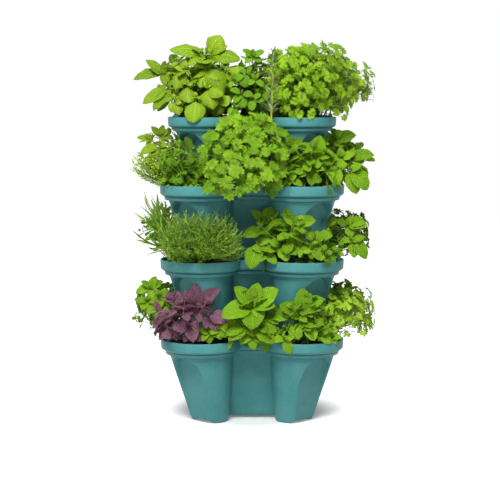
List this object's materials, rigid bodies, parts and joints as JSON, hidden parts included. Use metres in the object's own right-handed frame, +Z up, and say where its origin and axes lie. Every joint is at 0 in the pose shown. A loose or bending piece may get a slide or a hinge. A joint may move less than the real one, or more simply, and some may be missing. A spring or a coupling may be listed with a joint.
{
  "type": "vertical planter tower",
  "caption": "Tower of stacked four-lobed planting pots, each lifting off the one below, filled with soil and planted with mixed kitchen herbs.",
  "frame": {"origin": "on the ground under the middle of the tower", "axes": "+Z up the stack, -Y towards the front, +X to the right as seen from the front"},
  "size_m": [0.4365, 0.4335, 0.6952],
  "materials": {
    "pot_plastic": "satin moulded polypropylene, teal",
    "fitting_plastic": "plain moulded, dark",
    "potting_soil": "crumbly potting mix",
    "bright_leaves": "living leaves, bright green",
    "needle_leaves": "living needles and blades, mid green",
    "purple_leaves": "living leaves, dusky purple"
  },
  "bodies": {
    "root": {"bottom_pot": "pot_plastic", "bottom_drain_screen": "fitting_plastic", "bottom_support_post": "fitting_plastic", "bottom_soil": "potting_soil", "bottom_purple_basil": "purple_leaves", "bottom_basil": "bright_leaves", "bottom_spearmint": "bright_leaves", "bottom_mint": "bright_leaves", "bottom_coriander": "bright_leaves", "bottom_chervil": "bright_leaves", "bottom_green_basil": "bright_leaves", "bottom_lemon_balm": "bright_leaves"},
    "second_tier": {"second_pot": "pot_plastic", "second_drain_screen": "fitting_plastic", "second_support_post": "fitting_plastic", "second_soil": "potting_soil", "second_rosemary": "needle_leaves", "second_mint": "bright_leaves", "second_oregano": "bright_leaves", "second_chives": "needle_leaves", "second_balm": "bright_leaves", "second_marjoram": "bright_leaves", "second_thyme": "needle_leaves", "second_parsley": "bright_leaves"},
    "third_tier": {"third_pot": "pot_plastic", "third_drain_screen": "fitting_plastic", "third_support_post": "fitting_plastic", "third_soil": "potting_soil", "third_parsley": "bright_leaves", "third_oregano": "bright_leaves", "third_sage": "bright_leaves", "third_thyme": "needle_leaves", "third_mint": "bright_leaves", "third_marjoram": "bright_leaves", "third_chives": "needle_leaves", "third_basil": "bright_leaves", "third_balm": "bright_leaves"},
    "top_tier": {"top_pot": "pot_plastic", "top_drain_screen": "fitting_plastic", "top_soil": "potting_soil", "top_basil": "bright_leaves", "top_rosemary": "needle_leaves", "top_parsley": "bright_leaves", "top_oregano": "bright_leaves", "top_mint": "bright_leaves", "top_coriander": "bright_leaves", "top_balm": "bright_leaves", "top_chervil": "bright_leaves"}
  },
  "joints": [
    {"name": "second_tier_lift", "type": "slide", "parent": "root", "child": "second_tier", "axis": [0, 0, 1], "range_m": [0, 0.2]},
    {"name": "third_tier_lift", "type": "slide", "parent": "second_tier", "child": "third_tier", "axis": [0, 0, 1], "range_m": [0, 0.2]},
    {"name": "top_tier_lift", "type": "slide", "parent": "third_tier", "child": "top_tier", "axis": [0, 0, 1], "range_m": [0, 0.2]}
  ]
}
